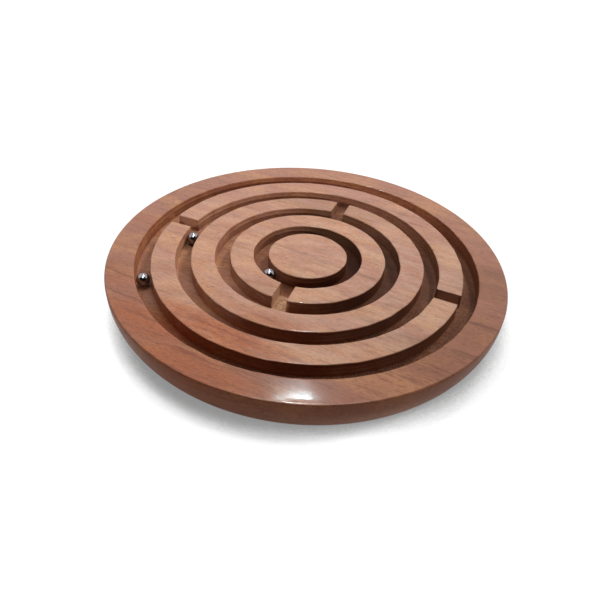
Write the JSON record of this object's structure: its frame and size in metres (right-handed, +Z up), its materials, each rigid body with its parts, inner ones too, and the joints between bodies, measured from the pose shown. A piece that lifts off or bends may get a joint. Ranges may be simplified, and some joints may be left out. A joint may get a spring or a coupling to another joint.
{
  "type": "ball maze puzzle",
  "caption": "Round turned wooden board with ring tracks joined by gates, in which loose steel balls are rolled towards the centre by tilting the board.",
  "frame": {"origin": "centre of the board's flat underside, on the surface that it rests on", "axes": "+Z up out of the tracks, +X along the wood grain and through the outer wall's two gates, +Y across the grain"},
  "size_m": [0.15, 0.15, 0.015],
  "materials": {
    "wood": "satin",
    "steel": "polished"
  },
  "bodies": {
    "board": {"base": "wood", "rim": "wood", "outer_wall_back": "wood", "outer_wall_front": "wood", "middle_wall": "wood", "inner_wall": "wood", "island": "wood"},
    "outer_ball": {"outer_ball": "steel"},
    "second_ball": {"second_ball": "steel"},
    "inner_ball": {"inner_ball": "steel"}
  },
  "joints": [
    {"name": "outer_ball_roll", "type": "hinge", "parent": "board", "child": "outer_ball", "pos_m": [0, 0, 0.01235], "axis": [0, 0, 1], "continuous": true},
    {"name": "second_ball_roll", "type": "hinge", "parent": "board", "child": "second_ball", "pos_m": [0, 0, 0.01235], "axis": [0, 0, 1], "continuous": true},
    {"name": "inner_ball_roll", "type": "hinge", "parent": "board", "child": "inner_ball", "pos_m": [0, 0, 0.01235], "axis": [0, 0, 1], "continuous": true}
  ]
}
